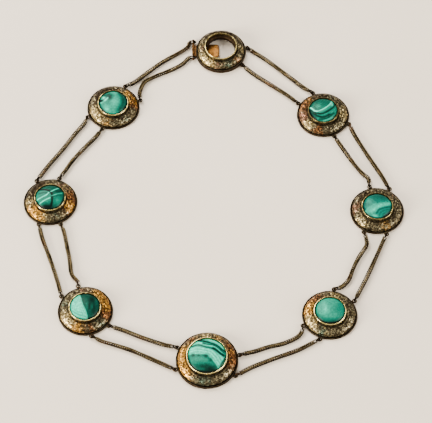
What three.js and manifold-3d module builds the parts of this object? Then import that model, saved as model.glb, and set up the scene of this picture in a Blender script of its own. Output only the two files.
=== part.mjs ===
// A livery collar: eight round domed roundels, joined by pairs of foxtail chains into one closed loop.
//
// Millimetres, +Z up. The collar lies on a flat surface at z = 0, with its clasp at the back (+Y) and
// its centre-piece at the front (-Y). The origin is under the middle of its footprint.
// Soldered metal is one solid: a roundel carries its bezel and its eyes, and a chain its two end loops.

import * as THREE from "three";
import { mergeVertices } from "three/addons/utils/BufferGeometryUtils.js";
import Module from "manifold-3d";

const wasm = await Module();
wasm.setup();

// Roundels: the outside radius of the rim and of the bezel, and the heights of the flat foot, the band
// and the lip. The clasp's foot is a taller box, which takes the tongue, and the wall inside its empty
// setting goes down to the height of its well, just over the tongue.
const ROUNDEL = { rim: 15, bezel: 8.8, foot: 1.3, shoulder: 4, lip: 6 };
const CENTRE_ROUNDEL = { rim: 16.7, bezel: 11, foot: 2, shoulder: 4.9, lip: 7 };
const CLASP_ROUNDEL = { rim: 14.6, bezel: 9.4, foot: 2.6, shoulder: 5.2, lip: 7.4, well: 2.2 };

const ROUND_SEGMENTS = 24;
const SHEET = 0.8;
const FOOT_WIDTH = 1.9;
const GROOVE_WIDTH = 1.1;
const BAND_GROOVE = 0.7;
const BEZEL_WALL = 0.55;
const LEDGE_WIDTH = 0.8;
const LEDGE_DEPTH = 2.6;

// Stones: a cabochon stands on the bezel's ledge with a small gap all round.
const STONE_GAP = 0.3;
const STONE_GIRDLE = 1.4;
const STONE_RISE = 1.7;

// Eyes on the rims, and the loops of the chain ends that pass through them.
const EYE = { radius: 1.1, wire: 0.33, height: 1.2, reach: 1 };
const LOOP = { radius: 1.25, wire: 0.28, height: 1.55 };
const EYE_LOOP = { past: 1.1, halfLength: LOOP.radius };
const BAR_LOOP = { past: 0.45, halfLength: 1.65 };
const RING_SEGMENTS = 8;
const WIRE_SEGMENTS = 4;

// Chains: a square-sectioned foxtail chain, as one tube along its route.
const CHAIN_THICKNESS = 2.4;
const CHAIN_SIDES = 8;
const CHAIN_STEP = 2.5 * CHAIN_THICKNESS;
const CHAIN_OVERLAP = 0.2;

// Clasp: a flat tongue soldered to a cross bar slides into a slot in the clasp roundel's wall.
const BAR = { x: -16, y: 1.3, halfLength: 6.5, radius: 0.55, knob: 0.8, height: LOOP.height };
const BAR_LOOP_OFFSET = 5.5;
const BAR_SEGMENTS = 8;
const TONGUE = {
  end: -1, width: 9.2, shift: -0.7, thickness: 0.8, height: 1.1, corner: 1.2, neckWidth: 8, neckLength: 2.1,
};
const SLOT_GAP = 0.3;
const SLOT_DEPTH = 4.5;

// The stations of the collar, clockwise from the clasp, seen from above.
const STATIONS = [
  { name: "clasp", x: 4.2, y: 102.2, size: CLASP_ROUNDEL },
  { name: "upper_right", x: 62.6, y: 57.9, size: ROUNDEL },
  { name: "right", x: 90.9, y: -6.6, size: ROUNDEL },
  { name: "lower_right", x: 62.8, y: -72.8, size: ROUNDEL },
  { name: "centre", x: -3.4, y: -100.7, size: CENTRE_ROUNDEL },
  { name: "lower_left", x: -69.2, y: -70.4, size: ROUNDEL },
  { name: "left", x: -90.9, y: -0.8, size: ROUNDEL },
  { name: "upper_left", x: -57.4, y: 63, size: ROUNDEL },
];

// The chains between each station and the next. leaves and meets are the bearings of the two eyes, in
// degrees anticlockwise from +X, or the end of the clasp's bar. sway lists the bends on the way, each
// as its share of the distance and its millimetres to the left of the straight line.
const CHAINS = [
  { side: "outer", station: 0, leaves: 11, meets: 110, sway: [[0.3, 0.5], [0.6, 0], [0.85, -0.5]] },
  { side: "inner", station: 0, leaves: -37, meets: 151, sway: [[0.2, -0.7], [0.5, -0.2], [0.8, 0.4]] },
  { side: "outer", station: 1, leaves: -24, meets: 62, sway: [[0.15, -0.6], [0.5, -0.4], [0.8, 0.2]] },
  {
    side: "inner", station: 1, leaves: -68, meets: 103,
    sway: [[0.3, 0], [0.58, 0.3], [0.75, 1.1], [0.87, 2.3]],
  },
  { side: "outer", station: 2, leaves: -73, meets: 32, sway: [[0.3, 0.2], [0.7, 0.5]] },
  {
    side: "inner", station: 2, leaves: -119, meets: 80,
    sway: [[0.08, 2.7], [0.17, 4.7], [0.38, 4.1], [0.6, 4.1], [0.79, 4.7], [0.92, 3.2]],
  },
  {
    side: "outer", station: 3, leaves: -111, meets: -31,
    sway: [[0.12, 0.4], [0.28, 0.8], [0.6, -0.3], [0.82, -0.7]],
  },
  {
    side: "inner", station: 3, leaves: -155, meets: 11,
    sway: [[0.06, 2.8], [0.15, 4.6], [0.38, 4.7], [0.57, 3.1], [0.8, 1.8]],
  },
  {
    side: "outer", station: 4, leaves: -162, meets: -76,
    sway: [[0.25, -0.5], [0.55, -0.8], [0.75, 0], [0.88, 0.6]],
  },
  { side: "inner", station: 4, leaves: 154, meets: -35, sway: [[0.2, 0.8], [0.5, 0.8], [0.82, 0]] },
  {
    side: "outer", station: 5, leaves: 146, meets: -111,
    sway: [[0.2, -0.4], [0.5, -0.1], [0.85, 0.5]],
  },
  {
    side: "inner", station: 5, leaves: 106, meets: -67,
    sway: [[0.07, -0.4], [0.2, 1.6], [0.4, 0.7], [0.65, 0], [0.9, -0.6]],
  },
  {
    side: "outer", station: 6, leaves: 121, meets: -155,
    sway: [[0.2, 0.2], [0.5, -0.4], [0.75, -0.4], [0.9, -0.8]],
  },
  {
    side: "inner", station: 6, leaves: 74, meets: -112,
    sway: [[0.15, 0.4], [0.37, 1], [0.65, 0.4], [0.85, -0.2]],
  },
  {
    side: "outer", station: 7, leaves: 66, meets: "bar",
    sway: [[0.1, -1], [0.3, -0.4], [0.55, 0], [0.9, -0.6]],
  },
  {
    side: "inner", station: 7, leaves: 17, meets: "bar",
    sway: [[0.05, 2.9], [0.12, 5.2], [0.25, 7.5], [0.4, 6.3], [0.6, 3.4], [0.8, 1.2]],
  },
];

const gilt = new THREE.MeshStandardMaterial({ color: 0xa07c4c, roughness: 0.4, metalness: 1 });
const paleGilt = new THREE.MeshStandardMaterial({ color: 0x9a926e, roughness: 0.4, metalness: 1 });
const oxidisedSilver = new THREE.MeshStandardMaterial({ color: 0x6d6450, roughness: 0.5, metalness: 1 });
const copper = new THREE.MeshStandardMaterial({ color: 0xb9743a, roughness: 0.35, metalness: 1 });
const malachite = new THREE.MeshStandardMaterial({ color: 0x3f9a7c, roughness: 0.2, metalness: 0 });

// A geometry as a solid that can be joined and cut. Faces that shrink to a line on an axis are dropped.
function toSolid(geometry) {
  const bare = geometry.clone();
  bare.deleteAttribute("normal");
  bare.deleteAttribute("uv");
  const merged = mergeVertices(bare);
  const corners = merged.index.array;
  const faces = [];
  for (let i = 0; i < corners.length; i += 3) {
    const [a, b, c] = corners.subarray(i, i + 3);
    if (a !== b && b !== c && c !== a) faces.push(a, b, c);
  }
  const vertProperties = new Float32Array(merged.attributes.position.array);
  const triVerts = new Uint32Array(faces);
  return new wasm.Manifold(new wasm.Mesh({ numProp: 3, vertProperties, triVerts }));
}

function toGeometry(solid) {
  const { vertProperties, triVerts } = solid.getMesh();
  const geometry = new THREE.BufferGeometry();
  geometry.setAttribute("position", new THREE.BufferAttribute(vertProperties, 3));
  geometry.setIndex(new THREE.BufferAttribute(triVerts, 1));
  geometry.computeVertexNormals();
  return geometry;
}

function join(geometries) {
  return geometries.map(toSolid).reduce((whole, piece) => whole.add(piece));
}

// A shape turned about the vertical axis from a profile of [radius, height] points.
function turned(profile) {
  const points = profile.map(([radius, height]) => new THREE.Vector2(radius, height));
  return new THREE.LatheGeometry(points, ROUND_SEGMENTS).rotateX(Math.PI / 2);
}

// Points on a quarter of an ellipse, from its level end (outside) to its top.
function quarterArc(centreRadius, baseHeight, width, rise, steps) {
  const points = [];
  for (let i = 0; i <= steps; i++) {
    const angle = (i / steps) * (Math.PI / 2);
    points.push([centreRadius + width * Math.cos(angle), baseHeight + rise * Math.sin(angle)]);
  }
  return points;
}

// The sheet-metal ring: a flat foot, a groove, a convex band, a step, and the bezel's wall with the
// ledge that the stone stands on. It is open underneath, so the profile comes back along the inside.
function roundelRing({ rim, bezel, foot, shoulder, lip, well }) {
  const inside = bezel - BEZEL_WALL;
  const seat = lip - LEDGE_DEPTH;
  const under = seat - SHEET;
  const ledge = inside - LEDGE_WIDTH;
  const ledgeEnd = well ? [[ledge, well], [inside, well], [inside, under]] : [[ledge, under]];
  const stepRadius = bezel + BAND_GROOVE;
  const bandFoot = rim - GROOVE_WIDTH;
  const bandWidth = bandFoot - stepRadius;
  const bandRise = shoulder - foot;
  const profile = [
    [rim - FOOT_WIDTH, 0],
    [rim, 0],
    [rim, foot],
    ...quarterArc(stepRadius, foot, bandWidth, bandRise, 3),
    [bezel, shoulder - SHEET / 2],
    [bezel, lip],
    [inside, lip],
    [inside, seat],
    [ledge, seat],
    ...ledgeEnd,
    ...quarterArc(stepRadius, foot, bandWidth - SHEET, bandRise - SHEET, 2).reverse(),
  ];
  return turned([...profile, profile[0]]);
}

function bearing(degrees) {
  const angle = THREE.MathUtils.degToRad(degrees);
  return new THREE.Vector3(Math.cos(angle), Math.sin(angle), 0);
}

// The centre of the eye that stands at a bearing on a station's rim.
function eyeCentre(station, degrees) {
  const centre = new THREE.Vector3(station.x, station.y, EYE.height);
  return centre.addScaledVector(bearing(degrees), station.size.rim + EYE.reach);
}

function eyeRing(centre) {
  const ring = new THREE.TorusGeometry(EYE.radius, EYE.wire, WIRE_SEGMENTS, RING_SEGMENTS);
  return ring.translate(centre.x, centre.y, centre.z);
}

// The bearings of the eyes on one station: two for the chains that leave and two for those that come.
function eyeBearings(index) {
  const before = (index + STATIONS.length - 1) % STATIONS.length;
  const leaving = CHAINS.filter((chain) => chain.station === index).map((chain) => chain.leaves);
  const coming = CHAINS.filter((chain) => chain.station === before).map((chain) => chain.meets);
  return [...leaving, ...coming].filter((end) => end !== "bar");
}

function roundel(index) {
  const station = STATIONS[index];
  const ring = roundelRing(station.size).translate(station.x, station.y, 0);
  const eyes = eyeBearings(index).map((degrees) => eyeRing(eyeCentre(station, degrees)));
  return join([ring, ...eyes]);
}

// The cabochon: a flat base on the ledge, an upright girdle, and a low dome above the lip.
function stone({ bezel, lip }) {
  const radius = bezel - BEZEL_WALL - STONE_GAP;
  const base = lip - LEDGE_DEPTH + STONE_GAP;
  const girdle = lip - STONE_GIRDLE;
  const dome = quarterArc(0, girdle, radius, lip + STONE_RISE - girdle, 4).slice(0, -1);
  return turned([[0, base], [radius, base], ...dome, [0, lip + STONE_RISE]]);
}

const clasp = STATIONS[0];

// The opening in the clasp roundel's wall that the tongue goes through.
function tongueSlot() {
  const height = TONGUE.thickness + 2 * SLOT_GAP;
  const slot = new THREE.BoxGeometry(SLOT_DEPTH, TONGUE.width + 2 * SLOT_GAP, height);
  const x = clasp.x - clasp.size.rim + SLOT_DEPTH / 2 - SLOT_GAP;
  return toSolid(slot.translate(x, clasp.y + BAR.y + TONGUE.shift, TONGUE.height));
}

// The tongue: a flat plate with two rounded corners at its free end, and a narrower neck beside the bar,
// which leaves the end loops their room.
function tonguePlate() {
  const half = TONGUE.width / 2;
  const neck = TONGUE.neckWidth / 2;
  const shoulder = BAR.x + TONGUE.neckLength;
  const outline = new THREE.Shape();
  outline.moveTo(BAR.x, -neck);
  outline.lineTo(shoulder, -neck);
  outline.lineTo(shoulder, -half);
  outline.lineTo(TONGUE.end - TONGUE.corner, -half);
  outline.absarc(TONGUE.end - TONGUE.corner, TONGUE.corner - half, TONGUE.corner, -Math.PI / 2, 0);
  outline.absarc(TONGUE.end - TONGUE.corner, half - TONGUE.corner, TONGUE.corner, 0, Math.PI / 2);
  outline.lineTo(shoulder, half);
  outline.lineTo(shoulder, neck);
  outline.lineTo(BAR.x, neck);
  const plate = new THREE.ExtrudeGeometry(outline, {
    depth: TONGUE.thickness, bevelEnabled: false, curveSegments: 3,
  });
  return plate.translate(0, TONGUE.shift, TONGUE.height - TONGUE.thickness / 2);
}

// The cross bar: a wire that lies along Y, with a small knob at each end.
function crossBar() {
  const wire = new THREE.CylinderGeometry(BAR.radius, BAR.radius, 2 * BAR.halfLength, BAR_SEGMENTS);
  const knobs = [-1, 1].map((end) => {
    const knob = new THREE.SphereGeometry(BAR.knob, BAR_SEGMENTS, BAR_SEGMENTS / 2);
    return knob.translate(0, end * BAR.halfLength, 0);
  });
  return [wire, ...knobs].map((piece) => piece.translate(BAR.x, 0, BAR.height));
}

function claspTongue() {
  const pieces = [tonguePlate(), ...crossBar()];
  return join(pieces.map((piece) => piece.translate(clasp.x, clasp.y + BAR.y, 0)));
}

// The place on the cross bar where a chain's loop hangs, nearer the back for the outer chain.
function barCentre(side) {
  const offset = side === "outer" ? BAR_LOOP_OFFSET : -BAR_LOOP_OFFSET;
  return new THREE.Vector3(clasp.x + BAR.x, clasp.y + BAR.y + offset, BAR.height);
}

// The end loop: an upright oval ring around the eye's wire or the bar. Its centre lies a little way
// towards the chain, and the chain starts at its far side.
function endLoop(holder, direction, { past, halfLength }) {
  const centre = holder.clone().addScaledVector(direction, past).setZ(LOOP.height);
  const turn = Math.atan2(direction.y, direction.x);
  const ring = new THREE.TorusGeometry(LOOP.radius, LOOP.wire, WIRE_SEGMENTS, RING_SEGMENTS);
  ring.rotateX(Math.PI / 2).scale(halfLength / LOOP.radius, 1, 1);
  ring.rotateZ(turn).translate(centre.x, centre.y, centre.z);
  const start = centre.clone().addScaledVector(direction, halfLength - CHAIN_OVERLAP);
  return { ring, start: start.setZ(CHAIN_THICKNESS / 2) };
}

// A loop in an eye points at the chain's nearest bend, and a loop on the bar stands square to the bar.
function eyeLoop(eye, bend) {
  return endLoop(eye, bend.clone().sub(eye).setZ(0).normalize(), EYE_LOOP);
}

function barLoop(side) {
  return endLoop(barCentre(side), new THREE.Vector3(-1, 0, 0), BAR_LOOP);
}

// The bends of a chain, as points beside the straight line between its two holders.
function bendPoints(from, to, sway) {
  const along = to.clone().sub(from).setZ(0);
  const left = new THREE.Vector3(-along.y, along.x, 0).normalize();
  return sway.map(([share, offset]) => {
    const point = from.clone().addScaledVector(along, share).addScaledVector(left, offset);
    return point.setZ(CHAIN_THICKNESS / 2);
  });
}

// The chain's section: a regular polygon that rests on one of its sides.
function chainSection() {
  const radius = CHAIN_THICKNESS / 2 / Math.cos(Math.PI / CHAIN_SIDES);
  const corners = [];
  for (let i = 0; i < CHAIN_SIDES; i++) {
    const angle = ((i + 0.5) / CHAIN_SIDES) * 2 * Math.PI;
    corners.push(new THREE.Vector2(radius * Math.cos(angle), radius * Math.sin(angle)));
  }
  return new THREE.Shape(corners);
}

function chain({ side, station, leaves, meets, sway }) {
  const next = STATIONS[(station + 1) % STATIONS.length];
  const from = eyeCentre(STATIONS[station], leaves);
  const to = meets === "bar" ? barCentre(side) : eyeCentre(next, meets);
  const bends = bendPoints(from, to, sway);
  const first = eyeLoop(from, bends[0]);
  const last = meets === "bar" ? barLoop(side) : eyeLoop(to, bends.at(-1));
  const route = new THREE.CatmullRomCurve3([first.start, ...bends, last.start]);
  const steps = Math.round(route.getLength() / CHAIN_STEP);
  const tube = new THREE.ExtrudeGeometry(chainSection(), { steps, extrudePath: route });
  return join([tube, first.ring, last.ring]);
}

const collar = new THREE.Group();

function addPiece(name, geometry, material) {
  const mesh = new THREE.Mesh(geometry, material);
  mesh.name = name;
  collar.add(mesh);
  return mesh;
}

STATIONS.forEach((station, index) => {
  const isClasp = station === clasp;
  const metal = isClasp ? roundel(index).subtract(tongueSlot()) : roundel(index);
  addPiece(`roundel_${station.name}`, toGeometry(metal), isClasp ? paleGilt : gilt);
  if (!isClasp) {
    addPiece(`stone_${station.name}`, stone(station.size), malachite).position.set(station.x, station.y, 0);
  }
});

addPiece("clasp_tongue", toGeometry(claspTongue()), copper);

for (const link of CHAINS) {
  const next = STATIONS[(link.station + 1) % STATIONS.length];
  const name = `chain_${link.side}_${STATIONS[link.station].name}_to_${next.name}`;
  addPiece(name, toGeometry(chain(link)), oxidisedSilver);
}

// The origin goes under the middle of the footprint, on the surface.
const box = new THREE.Box3().setFromObject(collar);
const middle = box.getCenter(new THREE.Vector3());
collar.position.set(-middle.x, -middle.y, -box.min.z);

export default collar;
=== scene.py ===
# %% [markdown]
# # A livery collar
# A livery collar is a flat chain of office. This one is a loop of eight round roundels, joined by
# pairs of fine chains, and it lies on a table in the shape in which it was put down.
# The measured model comes first, as a fixed frame. Every piece below is made around it, in metres, and
# stands for the plain solid of the same place.

# %% The frame and the units
import math

import bmesh
import bpy
import numpy as np
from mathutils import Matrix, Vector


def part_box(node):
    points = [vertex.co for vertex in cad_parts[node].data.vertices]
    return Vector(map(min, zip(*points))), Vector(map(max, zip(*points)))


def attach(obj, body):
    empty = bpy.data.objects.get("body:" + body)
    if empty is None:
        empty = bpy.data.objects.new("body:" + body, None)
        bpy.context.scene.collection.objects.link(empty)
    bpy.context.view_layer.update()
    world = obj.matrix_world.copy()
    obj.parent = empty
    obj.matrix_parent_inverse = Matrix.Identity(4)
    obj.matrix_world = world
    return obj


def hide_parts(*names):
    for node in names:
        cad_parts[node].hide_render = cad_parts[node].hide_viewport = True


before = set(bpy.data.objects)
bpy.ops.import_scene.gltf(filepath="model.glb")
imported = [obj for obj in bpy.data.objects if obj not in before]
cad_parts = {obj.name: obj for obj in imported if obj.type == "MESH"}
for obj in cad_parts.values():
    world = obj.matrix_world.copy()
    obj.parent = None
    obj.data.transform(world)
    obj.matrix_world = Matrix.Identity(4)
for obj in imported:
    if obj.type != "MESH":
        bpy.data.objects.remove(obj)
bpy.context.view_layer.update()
MM = 0.001
print("frame:", len(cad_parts), "solids")


# %% [markdown]
# ## Camera
# The collar is seen from its front, from well above and from far away, through a long lens, so that
# near and far roundels keep nearly the same size. An empty could be tracked, but a camera that is
# placed by its distance and its elevation says plainly how it looks at the collar.

# %% Camera
LENS_MM = 179.7
CAMERA_ELEVATION = math.radians(58.2)
CAMERA_DISTANCE = 1.2
LOOK_AT = (0.0014, -0.0062, 0.0)


def place_camera(target, distance, elevation):
    """The camera stands in front of the target (-Y), raised by the elevation, and looks at it."""
    camera = bpy.data.objects.new("camera", bpy.data.cameras.new("camera"))
    bpy.context.scene.collection.objects.link(camera)
    back, up = distance * math.cos(elevation), distance * math.sin(elevation)
    camera.location = (target[0], target[1] - back, target[2] + up)
    camera.rotation_euler = (math.pi / 2 - elevation, 0, 0)
    return camera


camera = place_camera(LOOK_AT, CAMERA_DISTANCE, CAMERA_ELEVATION)
camera.data.lens = LENS_MM
camera.data.clip_start = 0.01
bpy.context.scene.camera = camera
print("camera at", [round(c, 3) for c in camera.location])


# %% [markdown]
# ## Light
# Polished metal shows what stands around it, so its look is mostly the shape of the lights. A broad
# soft light, low on the left, gives the bands their bright side. The strongest one, high behind on the
# left, drops short shadows to the front and the right, shades the empty setting and lights the lips,
# and a fainter one low at the right fills the far sides. The room round them is dim, and brightest
# towards the left and the front, so that the far sides of the bands and the stones stay deep.

# %% Lights
def soft_light(name, place, size, power, colour):
    """A square area light that faces the collar's middle."""
    light = bpy.data.lights.new(name, "AREA")
    light.size, light.energy, light.color = size, power, colour
    lamp = bpy.data.objects.new(name, light)
    bpy.context.scene.collection.objects.link(lamp)
    lamp.location = place
    x, y, z = place
    lamp.rotation_euler = (math.atan2(math.hypot(x, y), z), 0, math.atan2(y, x) + math.pi / 2)
    return lamp


def soft_room(towards, dim, bright):
    """A world whose brightness grows evenly from dim to bright towards a direction."""
    world = bpy.data.worlds.new("room")
    world.use_nodes = True
    nodes, link = world.node_tree.nodes, world.node_tree.links.new
    way = nodes.new("ShaderNodeTexCoord")
    facing = nodes.new("ShaderNodeVectorMath")
    facing.operation = "DOT_PRODUCT"
    facing.inputs[1].default_value = towards
    link(way.outputs["Generated"], facing.inputs[0])
    strength = nodes.new("ShaderNodeMapRange")
    for name, value in (("From Min", -1.0), ("From Max", 1.0), ("To Min", dim), ("To Max", bright)):
        strength.inputs[name].default_value = value
    link(facing.outputs["Value"], strength.inputs["Value"])
    nodes["Background"].inputs["Color"].default_value = (0.98, 0.96, 0.93, 1)
    link(strength.outputs["Result"], nodes["Background"].inputs["Strength"])
    return world


soft_light("light_left", (-1.8, -0.9, 0.8), 0.8, 136, (1.0, 0.96, 0.88))
soft_light("light_back", (-1.1, 1.6, 1.9), 1.8, 146, (1.0, 0.98, 0.95))
soft_light("light_right", (2.0, -0.7, 1.2), 1.4, 84, (1.0, 0.98, 0.95))
bpy.context.scene.world = soft_room((-0.5, -0.8, 0.3), 0.22, 0.8)
print("three soft lights and a room that is brighter on the left")


# %% [markdown]
# ## Ways to make a mesh
# Every metal piece here is a surface worked out on a grid. A grid of points becomes quads between
# neighbouring points, and a piece may join several grids. Blender's own primitives could be edited
# instead, but a formula keeps the whole piece adjustable, and its normals can be checked at once from
# the sign of the volume that it encloses.

# %% Grids and pieces
def grid_quads(rows, columns, wrap_rows=True, wrap_columns=True):
    """The four corner numbers of each quad between neighbouring points of a rows by columns grid."""
    r = np.arange(rows if wrap_rows else rows - 1)[:, None]
    c = np.arange(columns if wrap_columns else columns - 1)[None, :]
    next_r, next_c = (r + 1) % rows, (c + 1) % columns
    corners = [r * columns + c, r * columns + next_c, next_r * columns + next_c, next_r * columns + c]
    return np.stack(np.broadcast_arrays(*corners), -1).reshape(-1, 4)


def facing_out(points, quads):
    """The quads, turned round if the volume they enclose comes out negative."""
    a, b, c, d = (points[quads[:, k]] for k in range(4))
    volume = (a * (np.cross(b, c) + np.cross(c, d))).sum()
    return quads if volume > 0 else quads[:, ::-1]


def make_piece(name, grids, materials):
    """One object from a list of grids. Each is a dict: points (rows, columns, 3) in millimetres, quads,
    and any of material (a number), and values (named numbers for each point)."""
    points, quads, paint, values, first = [], [], [], {}, 0
    for grid in grids:
        spots = grid["points"].reshape(-1, 3)
        corners = facing_out(spots, grid["quads"])
        points.append(spots)
        quads.append(corners + first)
        paint.append(np.broadcast_to(grid.get("material", 0), len(corners)))
        for key, value in grid.get("values", {}).items():
            numbers = np.broadcast_to(value, grid["points"].shape[:-1]).ravel()
            values.setdefault(key, []).append((first, numbers))
        first += len(spots)
    points, quads = np.concatenate(points) * MM, np.concatenate(quads)
    mesh = bpy.data.meshes.new(name)
    mesh.vertices.add(len(points))
    mesh.vertices.foreach_set("co", points.astype(np.float32).ravel())
    mesh.loops.add(quads.size)
    mesh.loops.foreach_set("vertex_index", quads.astype(np.int32).ravel())
    mesh.polygons.add(len(quads))
    mesh.polygons.foreach_set("loop_start", np.arange(0, quads.size, 4, dtype=np.int32))
    mesh.update(calc_edges=True)
    for material in materials:
        mesh.materials.append(material)
    mesh.polygons.foreach_set("material_index", np.concatenate(paint).astype(np.int32))
    for key, stretches in values.items():
        column = np.zeros(len(points), np.float32)
        for start, numbers in stretches:
            column[start:start + len(numbers)] = numbers
        mesh.attributes.new(key, "FLOAT", "POINT").data.foreach_set("value", column)
    mesh.shade_smooth()
    piece = bpy.data.objects.new(name, mesh)
    bpy.context.scene.collection.objects.link(piece)
    return piece


def settle(piece, node):
    """The piece rides on the collar's one body and stands for its solid, which is hidden."""
    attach(piece, "root")
    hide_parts(node)


print("a ring of 4 by 6 points has", len(grid_quads(4, 6)), "quads")

# %% [markdown]
# ## The floor
# A plain pale table top, just under the collar, with the faintest unevenness in its colour.

# %% Screen colours as light
def linear(red, green, blue):
    """A colour given as it looks on a screen (0 to 255), as the light values that a shader needs."""
    c = np.array([red, green, blue]) / 255
    return (*np.where(c <= 0.04045, c / 12.92, ((c + 0.055) / 1.055) ** 2.4).tolist(), 1.0)


print("a colour that looks half bright is", round(linear(128, 128, 128)[0], 2), "of full light")

# %% A way to build finishes
class Finish:
    """A material under construction, with a short call for each kind of node that the finishes use."""

    def __init__(self, name, metallic, roughness):
        self.material = bpy.data.materials.new(name)
        self.material.use_nodes = True
        self.tree = self.material.node_tree
        self.shader = self.tree.nodes["Principled BSDF"]
        self.shader.inputs["Metallic"].default_value = metallic
        self.shader.inputs["Roughness"].default_value = roughness
        self.place = self.tree.nodes.new("ShaderNodeTexCoord").outputs["Object"]

    def put(self, value, socket):
        """Sets a socket to a number or a colour, or links another node's output to it."""
        if isinstance(value, bpy.types.NodeSocket):
            self.tree.links.new(value, socket)
        elif value is not None:
            socket.default_value = value

    def noise(self, size_mm, detail=3, layer=0.0):
        """Soft random values from 0 to 1 whose patches are about this size. Each layer differs."""
        node = self.tree.nodes.new("ShaderNodeTexNoise")
        node.noise_dimensions = "4D"
        node.inputs["W"].default_value = layer
        node.inputs["Scale"].default_value = 1 / (size_mm * MM)
        node.inputs["Detail"].default_value = detail
        self.put(self.place, node.inputs["Vector"])
        return node.outputs["Fac"]

    def maths(self, operation, a, b=None, c=None):
        """One operation of the Math node on up to three numbers or sockets."""
        node = self.tree.nodes.new("ShaderNodeMath")
        node.operation = operation
        for value, socket in zip((a, b, c), node.inputs):
            self.put(value, socket)
        return node.outputs[0]

    def between(self, value, low, high, to_low=0.0, to_high=1.0):
        """The value, stretched so that low becomes to_low and high becomes to_high, and kept between."""
        node = self.tree.nodes.new("ShaderNodeMapRange")
        node.interpolation_type = "SMOOTHSTEP"
        self.put(value, node.inputs["Value"])
        for name, number in (("From Min", low), ("From Max", high), ("To Min", to_low), ("To Max", to_high)):
            node.inputs[name].default_value = number
        return node.outputs["Result"]

    def mix(self, factor, under, over):
        """The colour under at factor 0, the colour over at factor 1."""
        node = self.tree.nodes.new("ShaderNodeMix")
        node.data_type = "RGBA"
        self.put(factor, node.inputs[0])
        self.put(under, node.inputs[6])
        self.put(over, node.inputs[7])
        return node.outputs[2]

    def attribute(self, name):
        """A value that the piece's own mesh carries at each point."""
        node = self.tree.nodes.new("ShaderNodeAttribute")
        node.attribute_name = name
        return node.outputs["Fac"]

    def ramp(self, factor, stops):
        """Colours along a line, as pairs of a position from 0 to 1 and a colour."""
        node = self.tree.nodes.new("ShaderNodeValToRGB")
        elements = node.color_ramp.elements
        while len(elements) < len(stops):
            elements.new(0.5)
        for element, (position, colour) in zip(elements, stops):
            element.position, element.color = position, colour
        self.put(factor, node.inputs["Fac"])
        return node.outputs["Color"]

    def relief(self, height, depth_mm):
        """Bumps the surface by a height from 0 to 1, whose full rise is the depth."""
        node = self.tree.nodes.new("ShaderNodeBump")
        node.inputs["Distance"].default_value = depth_mm * MM
        self.put(height, node.inputs["Height"])
        self.put(node.outputs["Normal"], self.shader.inputs["Normal"])

    def done(self, colour, roughness=None):
        """Sets the colour, and the roughness where it varies, and gives the finished material."""
        self.put(colour, self.shader.inputs["Base Color"])
        self.put(roughness, self.shader.inputs["Roughness"])
        return self.material


print("kinds of node that a finish can use:", [call for call in vars(Finish) if not call.startswith("_")])

# %% Floor
FLOOR_SIZE = 3.0
FLOOR_DROP = 0.00003


def floor_finish():
    """Two pale tints, mixed by a wide soft noise."""
    finish = Finish("pale_table", metallic=0.0, roughness=0.55)
    cloud = finish.noise(90, detail=2)
    return finish.done(finish.mix(cloud, linear(222, 205, 182), linear(229, 213, 191)))


floor = bpy.data.meshes.new("floor")
half = FLOOR_SIZE / 2
corners = [(-half, -half), (half, -half), (half, half), (-half, half)]
floor.from_pydata([(x, y, -FLOOR_DROP) for x, y in corners], [], [(0, 1, 2, 3)])
floor.materials.append(floor_finish())
floor = bpy.data.objects.new("floor", floor)
bpy.context.scene.collection.objects.link(floor)
print("floor:", FLOOR_SIZE, "m square")


# %% [markdown]
# ## Where everything goes
# The stations go clockwise from the clasp. Their places are read from the frame: a stone's box is
# centred on its roundel, and the clasp's roundel, which has lost its stone, is measured from its left
# edge. The chains' routes repeat the ones that the solids were made along: an eye at a bearing on the
# rim, a few bends beside the straight line, and an eye on the next rim.

# %% Stations
PLAIN = {"rim": 15.0, "bezel": 8.8, "foot": 1.3, "shoulder": 4.0, "lip": 6.0, "repeats": 12}
LARGE = {"rim": 16.7, "bezel": 11.0, "foot": 2.0, "shoulder": 4.9, "lip": 7.0, "repeats": 14}
CLASP = {"rim": 14.6, "bezel": 9.4, "foot": 2.6, "shoulder": 5.2, "lip": 7.4, "repeats": 12, "well": 2.2}
STATION_SIZES = {
    "clasp": CLASP, "upper_right": PLAIN, "right": PLAIN, "lower_right": PLAIN,
    "centre": LARGE, "lower_left": PLAIN, "left": PLAIN, "upper_left": PLAIN,
}
STATIONS = list(STATION_SIZES)


def station_centre(name):
    """The middle of a roundel on the floor, in millimetres."""
    if name == "clasp":
        low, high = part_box("roundel_clasp")
        return np.array([low.x / MM + CLASP["rim"], (low.y + high.y) / 2 / MM])
    low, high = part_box(f"stone_{name}")
    return np.array([low.x + high.x, low.y + high.y]) / 2 / MM


CENTRES = {name: station_centre(name) for name in STATIONS}
print({name: centre.round(1).tolist() for name, centre in CENTRES.items()})

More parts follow.
